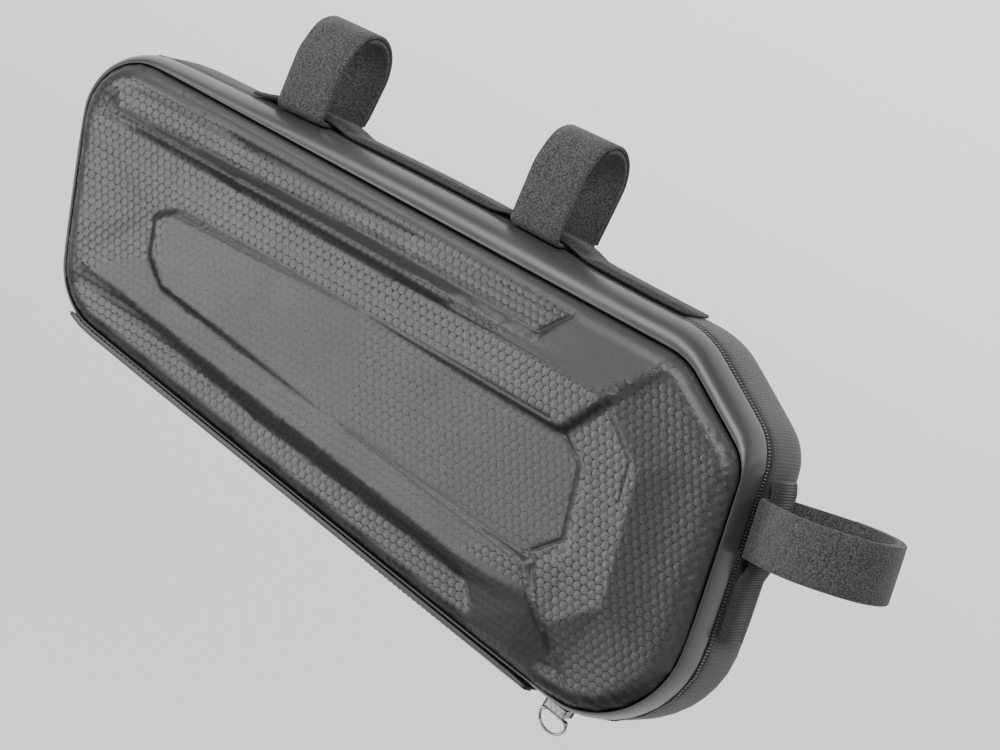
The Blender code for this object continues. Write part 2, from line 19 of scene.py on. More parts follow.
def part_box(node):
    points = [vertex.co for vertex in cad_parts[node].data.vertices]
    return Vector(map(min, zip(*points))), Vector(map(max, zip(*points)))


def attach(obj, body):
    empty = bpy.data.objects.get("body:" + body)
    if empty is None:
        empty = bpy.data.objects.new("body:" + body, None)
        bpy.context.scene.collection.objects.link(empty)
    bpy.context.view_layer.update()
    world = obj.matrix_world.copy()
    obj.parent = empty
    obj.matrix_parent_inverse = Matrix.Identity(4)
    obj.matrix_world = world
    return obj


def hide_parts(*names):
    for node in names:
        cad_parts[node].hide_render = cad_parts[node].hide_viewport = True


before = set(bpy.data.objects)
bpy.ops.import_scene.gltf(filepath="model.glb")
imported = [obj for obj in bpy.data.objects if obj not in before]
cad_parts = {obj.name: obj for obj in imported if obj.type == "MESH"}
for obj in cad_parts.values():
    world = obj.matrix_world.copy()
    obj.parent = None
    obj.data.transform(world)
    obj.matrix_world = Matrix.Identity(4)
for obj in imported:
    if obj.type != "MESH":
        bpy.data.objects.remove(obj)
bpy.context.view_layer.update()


# The view, floor and light. The camera looks along the bag from past its rear
# end, rolled as the photograph is. A pale floor lies well below, a long soft
# light hangs over the front and a broad one stands at the left.

VIEW_AZIMUTH = math.radians(27.5)
VIEW_ELEVATION = math.radians(9.5)
VIEW_ROLL = math.radians(24.6)
VIEW_DISTANCE = 1.5
VIEW_LENS = 132.3
VIEW_SENSOR = 36
VIEW_REACH = 1000
VIEW_SHIFT = Vector((-0.01796, 0.10265))


def look(azimuth, elevation, roll):
    """Camera turn whose columns are its right, up and back directions."""
    back = Vector((math.sin(azimuth) * math.cos(elevation),
                   -math.cos(azimuth) * math.cos(elevation),
                   math.sin(elevation)))
    level = Vector((math.cos(azimuth), math.sin(azimuth), 0))
    rise = back.cross(level)
    right = level * math.cos(roll) + rise * math.sin(roll)
    up = rise * math.cos(roll) - level * math.sin(roll)
    return Matrix((right, up, back)).transposed()


turn = look(VIEW_AZIMUTH, VIEW_ELEVATION, VIEW_ROLL)
lens = bpy.data.cameras.new("camera")
lens.lens = VIEW_LENS
lens.sensor_width = VIEW_SENSOR
lens.clip_end = VIEW_REACH
camera = bpy.data.objects.new("camera", lens)
bpy.context.scene.collection.objects.link(camera)
camera.matrix_world = Matrix.Translation(
    turn @ Vector((-VIEW_SHIFT.x, -VIEW_SHIFT.y, VIEW_DISTANCE))) @ turn.to_4x4()
bpy.context.scene.camera = camera

FLOOR_DROP = 0.75
FLOOR_HALF = 400.0
FLOOR_GREY = 0.93
ROOM_LIGHT = 0.50
floor_mesh = bpy.data.meshes.new("floor")
floor_corners = [(-1, -1), (1, -1), (1, 1), (-1, 1)]
floor_mesh.from_pydata([(x * FLOOR_HALF, y * FLOOR_HALF, -FLOOR_DROP) for x, y in floor_corners],
                       [], [(0, 1, 2, 3)])
floor_paint = bpy.data.materials.new("floor_paint")
floor_paint.use_nodes = True
floor_shader = floor_paint.node_tree.nodes["Principled BSDF"]
floor_shader.inputs["Base Color"].default_value = (FLOOR_GREY, FLOOR_GREY, FLOOR_GREY, 1)
floor_shader.inputs["Roughness"].default_value = 0.9
floor_shader.inputs["Specular IOR Level"].default_value = 0.1
floor_mesh.materials.append(floor_paint)
floor = bpy.data.objects.new("floor", floor_mesh)
bpy.context.scene.collection.objects.link(floor)

world = bpy.data.worlds.new("studio")
world.use_nodes = True
world.node_tree.nodes["Background"].inputs["Color"].default_value = (1, 1, 1, 1)
world.node_tree.nodes["Background"].inputs["Strength"].default_value = ROOM_LIGHT
bpy.context.scene.world = world

BAG_MIDDLE = Vector((0.03, 0.0, -0.10))


def softbox(name, side, distance, width, height, watts):
    """A soft light seen from the bag's middle in the direction of side."""
    light = bpy.data.lights.new(name, "AREA")
    light.shape = "RECTANGLE"
    light.size = width
    light.size_y = height
    light.energy = watts
    lamp = bpy.data.objects.new(name, light)
    bpy.context.scene.collection.objects.link(lamp)
    out = Vector(side).normalized()
    lamp.location = BAG_MIDDLE + out * distance
    lamp.rotation_euler = out.to_track_quat("Z", "Y").to_euler()


# Each lamp's direction, distance, width and height in metres, and watts.
SOFTBOXES = [
    ("overhead", (-0.15, -0.62, 0.77), 1.15, 1.3, 0.50, 17),
    ("left_wall", (-0.570, -0.812, -0.12), 1.10, 0.44, 0.66, 9.3),
    ("right_rim", (0.42, -0.735, 0.53), 1.20, 0.30, 0.34, 8),
]
for settings in SOFTBOXES:
    softbox(*settings)

# A wide ceiling of light behind the bag evens out the floor to its far end.
WASH_SIZE = 60
WASH_WATTS = 16400
WASH_PLACE = (-14.0, 32.0, 6.0)
wash = bpy.data.lights.new("floor_wash", "AREA")
wash.size = WASH_SIZE
wash.energy = WASH_WATTS
washer = bpy.data.objects.new("floor_wash", wash)
bpy.context.scene.collection.objects.link(washer)
washer.location = WASH_PLACE


# The front panel: foam pressed between skins, with a relief of long facets, a
# sunk channel and an inner plate. Its pattern of hexagons is pressed in too, so
# each cell is a low pillow of the mesh, laid over the solid's rounded creases.

HEX_PITCH = 0.00372           # across the flats, from one cell to the next
HEX_TOP = 0.75                # flat top of a cell, as a share of its width
HEX_RISE = 0.00010            # height of a cell's pillow
PLAIN_STEP = 0.00105          # mesh spacing where there is no pattern
CREASE_STEP = 0.0007          # mesh spacing along creases
CREASE_ANGLE = math.radians(9.0)
CREASE_CLEAR = 0.00048        # free of other points beside a crease
WALL_SLOPE = (0.62, 0.90)     # facing share where the pattern starts and is full
PANEL_BACK = 0.0026           # depth of the skin's turned-in edge
UNDERSIDE = 0.12              # downward slope where painted shade starts on the skin
UNDERSIDE_FADE = 0.20
ROLL_RISE = 0.0018            # swell of the rolled edge
ROLL_REACH = 0.0062           # how far in from the seam it swells most
ROLL_PLAIN = 0.55             # share of that reach which stays without pattern
ROLL_FADE = 0.35
ROUND_ALL = 3                 # rounds of averaging: over the whole skin,
ROUND_SOFT = 30               # where two facets run into each other,
ROUND_ROLL = 12               # and on the rolled edge

# Place of the panel, taken from its solid. Along and down below are shares of
# its length from the front end and of its height from the top edge.
panel_low, panel_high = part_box("front_panel")
PANEL_LENGTH, PANEL_HEIGHT = panel_high.x - panel_low.x, panel_high.z - panel_low.z

# How strong the pattern is in each area; later rows lie over earlier ones.
PATTERN_AREAS = [
    (0.95, [(-0.1, -0.1), (1.1, -0.1), (1.1, 1.1), (-0.1, 1.1)]),
    (0.30, [(0.190, 0.480), (0.517, 0.604), (0.786, 0.668), (0.714, 0.749), (0.443, 0.674),
            (0.114, 0.579)]),
    (0.22, [(0.207, 0.313), (0.474, 0.303), (0.517, 0.604), (0.228, 0.530), (0.196, 0.469),
            (0.180, 0.353)]),
    (0.50, [(0.474, 0.303), (0.754, 0.309), (0.808, 0.384), (0.827, 0.593), (0.786, 0.668),
            (0.517, 0.604)]),
    (0.00, [(0.064, 0.086), (0.068, 0.143), (0.262, 0.127), (0.491, 0.115), (0.686, 0.121),
            (0.681, 0.147), (0.497, 0.144), (0.267, 0.149), (0.060, 0.160)]),
    (0.00, [(0.717, 0.030), (0.850, -0.02), (0.843, 0.024), (0.793, 0.182), (0.631, 0.184),
            (0.681, 0.147), (0.690, 0.122)]),
    (0.25, [(0.114, 0.579), (0.443, 0.674), (0.714, 0.749), (0.815, 0.762), (0.868, 0.880),
            (0.830, 1.050), (0.752, 0.960), (0.752, 0.884), (0.716, 0.799), (0.408, 0.718),
            (0.127, 0.636)]),
    (0.00, [(-0.05, -0.05), (1.050, -0.05), (1.050, 0.250), (0.951, 0.165), (0.843, 0.026),
            (0.713, 0.032), (0.240, 0.042), (0.040, 0.050)]),
]

# Painted shade that doesn't follow the slope: none on the rib below the channel and on the
# crease at the rear corner, which stay light, and painted shade on the rear sole facet, which is dark.
PAINTED_SHADE_AREAS = [
    (0.0, [(0.064, 0.080), (0.068, 0.137), (0.262, 0.121), (0.491, 0.109), (0.686, 0.115),
           (0.683, 0.145), (0.497, 0.142), (0.267, 0.146), (0.058, 0.157)]),
    (0.0, [(0.812, 0.150), (0.812, 0.230), (0.985, 0.205), (0.985, 0.120)]),
    (0.7, [(0.716, 0.799), (0.815, 0.762), (0.868, 0.880), (0.840, 1.000), (0.752, 0.960),
           (0.752, 0.884)]),
]

# Where two long facets run softly into each other.
SOFT_AREA = [(0.575, 0.128), (0.676, 0.133), (0.700, 0.127), (0.860, 0.120), (0.800, 0.180),
             (0.650, 0.182), (0.575, 0.183)]

# Pressed lines: depth in metres at the start and at the end, and their course.
PRESSED_LINES = [
    (0.0001, 0.0005, [(0.517, 0.309), (0.640, 0.311), (0.752, 0.314)]),
    (0.0006, 0.0006, [(0.765, 0.322), (0.806, 0.386), (0.825, 0.592), (0.796, 0.662)]),
    (0.0003, 0.0004, [(0.789, 0.678), (0.815, 0.762), (0.868, 0.880), (0.900, 0.945)]),
    (0.0004, 0.0002, [(0.800, 0.192), (0.860, 0.309), (0.870, 0.430)]),
    (0.0006, 0.0006, [(0.716, 0.040), (0.688, 0.119)]),
    (0.0002, 0.0004, [(0.500, 0.190), (0.631, 0.186), (0.790, 0.184)]),
    (0.0003, 0.0005, [(0.716, 0.801), (0.752, 0.886)]),
]
LINE_HALF = 0.0008
LINE_STEP = 0.00055


def panel_place(along, down):
    return Vector((panel_low.x + along * PANEL_LENGTH, panel_high.z - down * PANEL_HEIGHT))


def merged(node):
    """A CAD solid's mesh with its loose triangles joined up."""
    bm = bmesh.new()
    bm.from_mesh(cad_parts[node].data)
    bmesh.ops.remove_doubles(bm, verts=bm.verts, dist=1e-6)
    bm.normal_update()
    return bm


def cell_share(x, z):
    """How far out from its hexagon's middle each point lies, 1 at the sides,
    and how near it lies to a corner of the hexagon."""
    x, z, tall = x / HEX_PITCH, z / HEX_PITCH, math.sqrt(3)
    nearest, reach = np.full(x.shape, 9.0), np.full(x.shape, 9.0)
    for shift_x, shift_z in ((0, 0), (0.5, tall / 2)):
        u = np.abs((x + shift_x) % 1.0 - 0.5)
        w = np.abs((z + shift_z) % tall - tall / 2)
        nearest = np.minimum(nearest, np.maximum(u, u / 2 + w * tall / 2))
        reach = np.minimum(reach, np.hypot(u, w))
    return nearest * 2, np.clip((reach * 2 - 1) / (2 / tall - 1), 0, 1)


def inside(area, along, down):
    crossed = np.zeros(along.shape, bool)
    for (u0, w0), (u1, w1) in zip(area, area[1:] + area[:1]):
        if w0 != w1:
            spans = (w0 > down) != (w1 > down)
            crossed ^= spans & (along < (u1 - u0) * (down - w0) / (w1 - w0) + u0)
    return crossed


def panel_share(x, z):
    return (x - panel_low.x) / PANEL_LENGTH, (panel_high.z - z) / PANEL_HEIGHT


def pattern_strength(x, z):
    along, down = panel_share(x, z)
    strength = np.zeros(x.shape)
    for value, area in PATTERN_AREAS:
        strength[inside(area, along, down)] = value
    return strength


def cell_points():
    """Points of the hexagon lattice over the panel's box: for each cell its
    middle, a ring round its flat top, and its own share of the border."""
    corner = HEX_PITCH / math.sqrt(3)
    offsets = [(0.0, 0.0)]
    for k in range(12):
        angle = math.pi * k / 6
        reach = corner if k % 2 else HEX_PITCH / 2
        point = (reach * math.cos(angle), reach * math.sin(angle))
        offsets.append((point[0] * HEX_TOP, point[1] * HEX_TOP))
        if k < 5:
            offsets.append(point)
    rows = int((panel_high.z - panel_low.z) / (HEX_PITCH * math.sqrt(3) / 2)) + 3
    columns = int((panel_high.x - panel_low.x) / HEX_PITCH) + 3
    first_row = math.floor(panel_low.z / (HEX_PITCH * math.sqrt(3) / 2)) - 1
    first_column = math.floor(panel_low.x / HEX_PITCH) - 1
    points = []
    for row in range(first_row, first_row + rows + 1):
        for column in range(first_column, first_column + columns + 1):
            x = (column + 0.5 * (row % 2)) * HEX_PITCH
            z = row * HEX_PITCH * math.sqrt(3) / 2
            points += [(x + dx, z + dz) for dx, dz in offsets]
    return np.array(points)


def plain_points():
    xs = np.arange(panel_low.x, panel_high.x, PLAIN_STEP)
    zs = np.arange(panel_low.z, panel_high.z, PLAIN_STEP * math.sqrt(3) / 2)
    grid = [(x + 0.5 * PLAIN_STEP * (j % 2), z) for j, z in enumerate(zs) for x in xs]
    return np.array(grid)


def line_points():
    """Rows of points along and beside the pressed lines."""
    points = []
    for _, _, course in PRESSED_LINES:
        for a, b in zip(course, course[1:]):
            start, end = panel_place(*a), panel_place(*b)
            run = end - start
            across = Vector((-run.y, run.x)).normalized()
            steps = max(1, int(run.length / LINE_STEP))
            for k in range(steps):
                for share in (-1.0, -0.5, 0.0, 0.5, 1.0):
                    points.append(start + run * (k / steps) + across * (share * LINE_HALF))
    return np.array([(p.x, p.y) for p in points])


def crease_points(bm, faces):
    """Plan points and heights along the creases and border of the faces, the
    pairs of points that the creases join, and the border in order."""
    chosen = set(faces)
    plan, heights, joins, corner, border = [], [], [], {}, {}

    def add(co):
        plan.append(Vector((co.x, co.z)))
        heights.append(co.y)
        return len(plan) - 1

    def sides(edge):
        return [f for f in edge.link_faces if f in chosen]

    rims = [e for e in bm.edges if len(sides(e)) == 1]
    creases = [e for e in bm.edges
               if len(sides(e)) == 2 and sides(e)[0].normal.angle(sides(e)[1].normal) > CREASE_ANGLE]
    roll = []
    for edge in rims + creases:
        rim = len(sides(edge)) == 1
        middle = (edge.verts[0].co + edge.verts[1].co) / 2
        if not rim and min((middle - point).xz.length for point in roll) < ROLL_REACH * 0.7:
            continue
        a, b = edge.verts
        for vert in (a, b):
            if vert not in corner:
                corner[vert] = add(vert.co)
        steps = max(1, int(round(edge.calc_length() / CREASE_STEP)))
        chain = [corner[a]] + [add(a.co.lerp(b.co, k / steps)) for k in range(1, steps)] + [corner[b]]
        joins.extend(zip(chain, chain[1:]))
        if rim:
            roll += [a.co.lerp(b.co, k / steps) for k in range(0, steps + 1, 2)]
            border.setdefault(a, []).append((b, chain))
            border.setdefault(b, []).append((a, chain[::-1]))
    start = next(iter(border))
    loop, vert, came = [], start, None
    while True:
        step = [item for item in border[vert] if item[0] is not came][0]
        loop += step[1][:-1]
        came, vert = vert, step[0]
        if vert is start:
            break
    return plan, heights, joins, loop


def pressed_depth(x, z):
    """Depth of the pressed lines at each point."""
    depth = np.zeros(x.shape)
    for first, last, course in PRESSED_LINES:
        ends = [panel_place(*share) for share in course]
        spans = [(b - a).length for a, b in zip(ends, ends[1:])]
        gone = 0.0
        for a, b, span in zip(ends, ends[1:], spans):
            run = (b - a) / span
            t = np.clip((x - a.x) * run.x + (z - a.y) * run.y, 0, span)
            away = np.hypot(x - a.x - t * run.x, z - a.y - t * run.y) / LINE_HALF
            full = first + (last - first) * (gone + t) / sum(spans)
            depth = np.maximum(depth, full * np.clip(1 - away ** 2, 0, 1) ** 2)
            gone += span
    return depth


def rolled_edge(plan, loop, x, z):
    """How far in from the edge each point lies, as a share of the roll's own
    reach, and how far it swells out there before it rolls over to the seam."""
    edge = KDTree(len(loop))
    for i in loop:
        edge.insert((plan[i].x, plan[i].y, 0), i)
    edge.balance()
    inward = np.array([edge.find((px, pz, 0))[2] for px, pz in zip(x, z)]) / ROLL_REACH
    return inward, ROLL_RISE * inward * np.exp(1 - inward)


def rounded(height, held, faces, rounds):
    """Heights averaged with their neighbours', except where they are held."""
    ends = np.array([(f[i], f[(i + 1) % 3]) for f in faces for i in range(3)])
    a, b = ends[:, 0], ends[:, 1]
    for _ in range(rounds):
        known = ~np.isnan(height)
        total, count = np.zeros(len(height)), np.zeros(len(height))
        for this, other in ((a, b), (b, a)):
            np.add.at(total, this, np.where(known[other], height[other], 0))
            np.add.at(count, this, known[other])
        mean = total / np.maximum(count, 1)
        height = np.where(known & held, height, np.where(known, 0.4 * height + 0.6 * mean, mean))
    return height


def panel_mesh():
    solid = merged("front_panel")
    skin = [f for f in solid.faces if f.normal.y < -0.1]
    plan, heights, joins, loop = crease_points(solid, skin)
    near = KDTree(len(plan))
    for i, p in enumerate(plan):
        near.insert((p.x, p.y, 0), i)
    near.balance()
    cast = BVHTree.FromPolygons([v.co for v in solid.verts], [[v.index for v in f.verts] for f in skin])
    lines, cells, plain = line_points(), cell_points(), plain_points()
    lined = KDTree(len(lines))
    for i, p in enumerate(lines):
        lined.insert((p[0], p[1], 0), i)
    lined.balance()
    cells = cells[pattern_strength(cells[:, 0], cells[:, 1]) > 0]
    plain = plain[pattern_strength(plain[:, 0], plain[:, 1]) == 0]
    for group in (lines, cells, plain):
        for x, z in group:
            if near.find((x, z, 0))[2] < CREASE_CLEAR:
                continue
            if group is not lines and lined.find((x, z, 0))[2] < CREASE_CLEAR:
                continue
            hit = cast.ray_cast(Vector((x, -1, z)), Vector((0, 1, 0)))[0]
            if hit is not None:
                plan.append(Vector((x, z)))
                heights.append(hit.y)
    solid.free()
    flat, _, faces, origins, _, _ = delaunay_2d_cdt(plan, joins, [loop], 1, 1e-7)
    height = np.array([heights[o[0]] if o else np.nan for o in origins])
    on_loop = set(loop)
    rim = np.array([any(k in on_loop for k in o) for o in origins])
    x = np.array([p.x for p in flat])
    z = np.array([p.y for p in flat])
    along, down = panel_share(x, z)
    height = rounded(height, rim, faces, ROUND_ALL)
    height = rounded(height, rim | ~inside(SOFT_AREA, along, down), faces, ROUND_SOFT)
    inward, swell = rolled_edge(plan, loop, x, z)
    height = rounded(height - swell, rim | (inward > 1), faces, ROUND_ROLL)
    height += np.where(rim, 0, pressed_depth(x, z))

    bm = bmesh.new()
    mark = bm.verts.layers.float.new("pattern")
    line = bm.verts.layers.float.new("groove")
    painted_under_shade = bm.verts.layers.float.new("painted_under_shade")
    verts = [bm.verts.new((p.x, y, p.y)) for p, y in zip(flat, height)]
    for face in faces:
        bm.faces.new([verts[i] for i in face])
    bm.normal_update()
    facing = np.array([abs(v.normal.y) for v in verts])
    low, full = WALL_SLOPE
    strength = pattern_strength(x, z) * np.clip((facing - low) / (full - low), 0, 1)
    strength *= np.clip((inward - ROLL_PLAIN) / ROLL_FADE, 0, 1)
    share, corner = cell_share(x, z)
    out = np.clip((share - HEX_TOP) / (1 - HEX_TOP), 0, 1)
    pillow = (1 - out * out * (3 - 2 * out)) * strength * HEX_RISE
    # Painted shade in the grooves between the cells, darkest towards the cells' corners.
    groove = out * (0.5 + 0.5 * corner) * strength
    # Painted shade: the skin's colour is darkened where it faces downwards.
    turned = np.array([np.clip((-v.normal.z - UNDERSIDE) / UNDERSIDE_FADE, 0, 1) for v in verts])
    # Listed areas get their own painted shade, or none, in place of the slope's.
    for value, area in PAINTED_SHADE_AREAS:
        turned[inside(area, along, down)] = value
    turned = rounded(turned, rim, faces, 2)
    for vert, value, rise, sunk, dark in zip(verts, strength, pillow, groove, turned):
        vert[mark] = value
        vert[line] = sunk
        vert[painted_under_shade] = dark
        vert.co.y -= rise
    edge_loop = [e for e in bm.edges if len(e.link_faces) == 1]
    grown = bmesh.ops.extrude_edge_only(bm, edges=edge_loop)["geom"]
    back = [item for item in grown if isinstance(item, bmesh.types.BMVert)]
    bmesh.ops.translate(bm, verts=back, vec=(0, PANEL_BACK, 0))
    rim_edges = [e for e in bm.edges if len(e.link_faces) == 1]
    bmesh.ops.triangle_fill(bm, edges=rim_edges, use_beauty=True)
    bmesh.ops.recalc_face_normals(bm, faces=bm.faces)
    return bm


def place_piece(name, bm, material, smooth_angle=40):
    mesh = bpy.data.meshes.new(name)
    bm.to_mesh(mesh)
    bm.free()
    mesh.materials.append(material)
    mesh.shade_smooth()
    if smooth_angle:
        mesh.set_sharp_from_angle(angle=math.radians(smooth_angle))
    obj = bpy.data.objects.new(name, mesh)
    bpy.context.scene.collection.objects.link(obj)
    return obj


def belong(piece, body, slot, *nodes):
    """Ties a finished piece to its body and hides the solids it covers; its slot is not used."""
    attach(piece, body)
    if nodes:
        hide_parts(*nodes)
    return piece


def group_ends(group, ins, outs):
    for name, kind, value in ins:
        made = group.interface.new_socket(name=name, in_out="INPUT", socket_type=kind)
        if value is not None:
            made.default_value = value
    for name, kind in outs:
        group.interface.new_socket(name=name, in_out="OUTPUT", socket_type=kind)
    return group.nodes.new("NodeGroupInput"), group.nodes.new("NodeGroupOutput")


def sums(tree, operation, a, b=None):
    """A Math node on one or two values, each a socket or a number."""
    node = tree.nodes.new("ShaderNodeMath")
    node.operation = operation
    for socket, value in zip(node.inputs, (a, b)):
        if isinstance(value, (int, float)):
            socket.default_value = value
        elif value is not None:
            tree.links.new(value, socket)
    return node.outputs[0]


def remap(tree, value, low, high, out_low=0.0, out_high=1.0):
    node = tree.nodes.new("ShaderNodeMapRange")
    node.interpolation_type = "SMOOTHSTEP"
    for name, number in (("From Min", low), ("From Max", high), ("To Min", out_low), ("To Max", out_high)):
        node.inputs[name].default_value = number
    tree.links.new(value, node.inputs["Value"])
    return node.outputs["Result"]


def noise(tree, place, scale, detail):
    node = tree.nodes.new("ShaderNodeTexNoise")
    node.inputs["Detail"].default_value = detail
    if isinstance(scale, (int, float)):
        node.inputs["Scale"].default_value = scale
    else:
        tree.links.new(scale, node.inputs["Scale"])
    tree.links.new(place, node.inputs["Vector"])
    return node.outputs["Fac"]


DRIFT_SCALE = 22.0


def grain_group():
    """Fine grain of a pressed or coated skin, and a broad unevenness."""
    group = bpy.data.node_groups.new("skin_grain", "ShaderNodeTree")
    start, end = group_ends(group,
                            [("Place", "NodeSocketVector", None), ("Fineness", "NodeSocketFloat", 2600.0)],
                            [("Grain", "NodeSocketFloat"), ("Drift", "NodeSocketFloat")])
    group.links.new(noise(group, start.outputs["Place"], start.outputs["Fineness"], 2), end.inputs["Grain"])
    group.links.new(noise(group, start.outputs["Place"], DRIFT_SCALE, 3), end.inputs["Drift"])
    return group


GROUPS = {"grain": grain_group()}


def placed(tree, group, place, **values):
    node = tree.nodes.new("ShaderNodeGroup")
    node.node_tree = GROUPS[group]
    for name, value in values.items():
        node.inputs[name].default_value = value
    tree.links.new(place, node.inputs["Place"])
    return node


def shade(tree, factor, dark, light):
    """A grey between two, by a factor."""
    node = tree.nodes.new("ShaderNodeMix")
    node.data_type = "RGBA"
    node.inputs[6].default_value = (dark, dark, dark * 1.02, 1)
    node.inputs[7].default_value = (light, light, light * 1.02, 1)
    tree.links.new(factor, node.inputs[0])
    return node.outputs[2]


def new_finish(name, roughness, metallic=0.0, specular=0.5, sheen=0.0):
    material = bpy.data.materials.new(name)
    material.use_nodes = True
    tree = material.node_tree
    shader = tree.nodes["Principled BSDF"]
    shader.inputs["Roughness"].default_value = roughness
    shader.inputs["Metallic"].default_value = metallic
    shader.inputs["Specular IOR Level"].default_value = specular
    shader.inputs["Sheen Weight"].default_value = sheen
    shader.inputs["Sheen Roughness"].default_value = 0.5
    place = tree.nodes.new("ShaderNodeTexCoord").outputs["Object"]
    return material, tree, shader, place


def bump(tree, shader, height, distance):
    node = tree.nodes.new("ShaderNodeBump")
    node.inputs["Distance"].default_value = distance
    tree.links.new(height, node.inputs["Height"])
    tree.links.new(node.outputs["Normal"], shader.inputs["Normal"])


def smooth_finish(name, dark, light, roughness, fineness, depth):
    material, tree, shader, place = new_finish(name, roughness)
    rough = placed(tree, "grain", place, Fineness=fineness)
    speck = sums(tree, "ADD", sums(tree, "MULTIPLY", remap(tree, rough.outputs["Grain"], 0.35, 0.65), 0.4),
                 sums(tree, "MULTIPLY", remap(tree, rough.outputs["Drift"], 0.35, 0.65), 0.6))
    tree.links.new(shade(tree, speck, dark, light), shader.inputs["Base Color"])
    tree.links.new(remap(tree, rough.outputs["Drift"], 0.3, 0.7, roughness - 0.04, roughness + 0.05),
                   shader.inputs["Roughness"])
    bump(tree, shader, rough.outputs["Grain"], depth)
    return material


def marked(tree, name):
    node = tree.nodes.new("ShaderNodeAttribute")
    node.attribute_name = name
    return node.outputs["Fac"]


# The skin's darkest and lightest grey, how far painted shade in a groove and on an underside darkens it,
# and how far that painted shade turns it metallic so it reflects less. Its plain areas are a little duller
# than the pattern.
SKIN_GREYS = (0.002, 0.014)
GROOVE_PAINTED_SHADE = 0.9
UNDER_PAINTED_SHADE = 0.8
PAINTED_SHADE_METAL = 0.75
GROOVE_DULL = 0.3
PLAIN_DULL = 0.11


def panel_finish():
    material, tree, shader, place = new_finish("pressed_skin", 0.4)
    rough = placed(tree, "grain", place, Fineness=1900.0)
    pattern, groove, painted_under_shade = marked(tree, "pattern"), marked(tree, "groove"), marked(tree, "painted_under_shade")
    speck = remap(tree, rough.outputs["Grain"], 0.32, 0.68)
    # Painted shade: grooves and undersides darken the colour and make the skin metallic so it reflects
    # less.
    dark = sums(tree, "ADD", sums(tree, "MULTIPLY", groove, GROOVE_PAINTED_SHADE),
                sums(tree, "MULTIPLY", painted_under_shade, UNDER_PAINTED_SHADE))
    tone = sums(tree, "SUBTRACT", sums(tree, "ADD", sums(tree, "MULTIPLY", speck, 0.35), 0.65), dark)
    tree.links.new(shade(tree, sums(tree, "MAXIMUM", tone, 0.0), *SKIN_GREYS), shader.inputs["Base Color"])
    painted_shade_depth = sums(tree, "MAXIMUM", groove, painted_under_shade)
    tree.links.new(sums(tree, "MULTIPLY", painted_shade_depth, PAINTED_SHADE_METAL), shader.inputs["Metallic"])
    plain = sums(tree, "MULTIPLY", sums(tree, "SUBTRACT", 1.0, pattern), PLAIN_DULL)
    dull = sums(tree, "ADD", sums(tree, "ADD", sums(tree, "MULTIPLY", groove, GROOVE_DULL), plain),
                remap(tree, rough.outputs["Drift"], 0.3, 0.7, 0.29, 0.34))
    tree.links.new(dull, shader.inputs["Roughness"])
    bump(tree, shader, rough.outputs["Grain"], 0.00016)
    return material


front_panel = place_piece("front_panel_skin", panel_mesh(), panel_finish(), 0)
belong(front_panel, "bag", "shell_skin", "front_panel")


# The side band: the same foam under a plain smooth skin, rolled round from the
# panel's seam to the zip. Its solid is smoothed and its sharp edges are kept.

QUAD_ANGLE = math.radians(40)
EDGE_ANGLE = math.radians(50)
EDGE_HOLD = 0.75


def quads(bm):
    """Joins a merged solid's triangles back into quads where they lie flat."""
    bmesh.ops.join_triangles(bm, faces=bm.faces, angle_face_threshold=QUAD_ANGLE,
                             angle_shape_threshold=QUAD_ANGLE)
    return bm


def settle(obj, sharp=45):
    """Turns an object with modifiers into a plain mesh in the same object."""
    bpy.context.view_layer.update()
    graph = bpy.context.evaluated_depsgraph_get()
    done = bpy.data.meshes.new_from_object(obj.evaluated_get(graph))
    old = obj.data
    obj.modifiers.clear()
    obj.data = done
    bpy.data.meshes.remove(old)
    done.shade_smooth()
    if sharp:
        done.set_sharp_from_angle(angle=math.radians(sharp))
    return obj


def finer(obj, levels):
    """Subdivides the piece smoothly and keeps its sharp edges by creasing."""
    bm = bmesh.new()
    bm.from_mesh(obj.data)
    crease = bm.edges.layers.float.get("crease_edge") or bm.edges.layers.float.new("crease_edge")
    for edge in bm.edges:
        if len(edge.link_faces) == 2 and edge.calc_face_angle() > EDGE_ANGLE:
            edge[crease] = EDGE_HOLD
    bm.to_mesh(obj.data)
    bm.free()
    modifier = obj.modifiers.new("fine", "SUBSURF")
    modifier.levels = levels
    modifier.render_levels = levels
    return settle(obj)


def carried(name, node, body, material, slot, levels=1):
    """A finer mesh piece that stands for one CAD solid."""
    piece = place_piece(name, quads(merged(node)), material)
    if levels:
        finer(piece, levels)
    return belong(piece, body, slot, node)


band_skin = smooth_finish("band_skin", 0.022, 0.034, 0.36, 1800.0, 0.00003)
carried("side_band_skin", "side_band", "bag", band_skin, "band_skin", 2)


# The zip: a woven black tape inside both halves, with moulded teeth all round
# in the gap between them. One tree sets every small part that repeats along a
# line: teeth here, and ribs and stitches further on.

def weave_group():
    """Threads of a plain weave, 0 between them to 1 on their crowns."""
    group = bpy.data.node_groups.new("plain_weave", "ShaderNodeTree")
    start, end = group_ends(group,
                            [("Place", "NodeSocketVector", None), ("Thread", "NodeSocketFloat", 0.0006)],
                            [("Crown", "NodeSocketFloat")])
    split = group.nodes.new("ShaderNodeSeparateXYZ")
    group.links.new(start.outputs["Place"], split.inputs[0])
    turns = sums(group, "DIVIDE", math.pi, start.outputs["Thread"])
    slant = sums(group, "MULTIPLY", sums(group, "ADD", split.outputs["X"], split.outputs["Y"]), turns)
    rise = sums(group, "MULTIPLY", sums(group, "ADD", split.outputs["Z"], split.outputs["Y"]), turns)
    crossed = sums(group, "MULTIPLY", sums(group, "SINE", slant), sums(group, "SINE", rise))
    group.links.new(sums(group, "ADD", sums(group, "MULTIPLY", crossed, 0.5), 0.5), end.inputs["Crown"])
    return group


GROUPS["weave"] = weave_group()


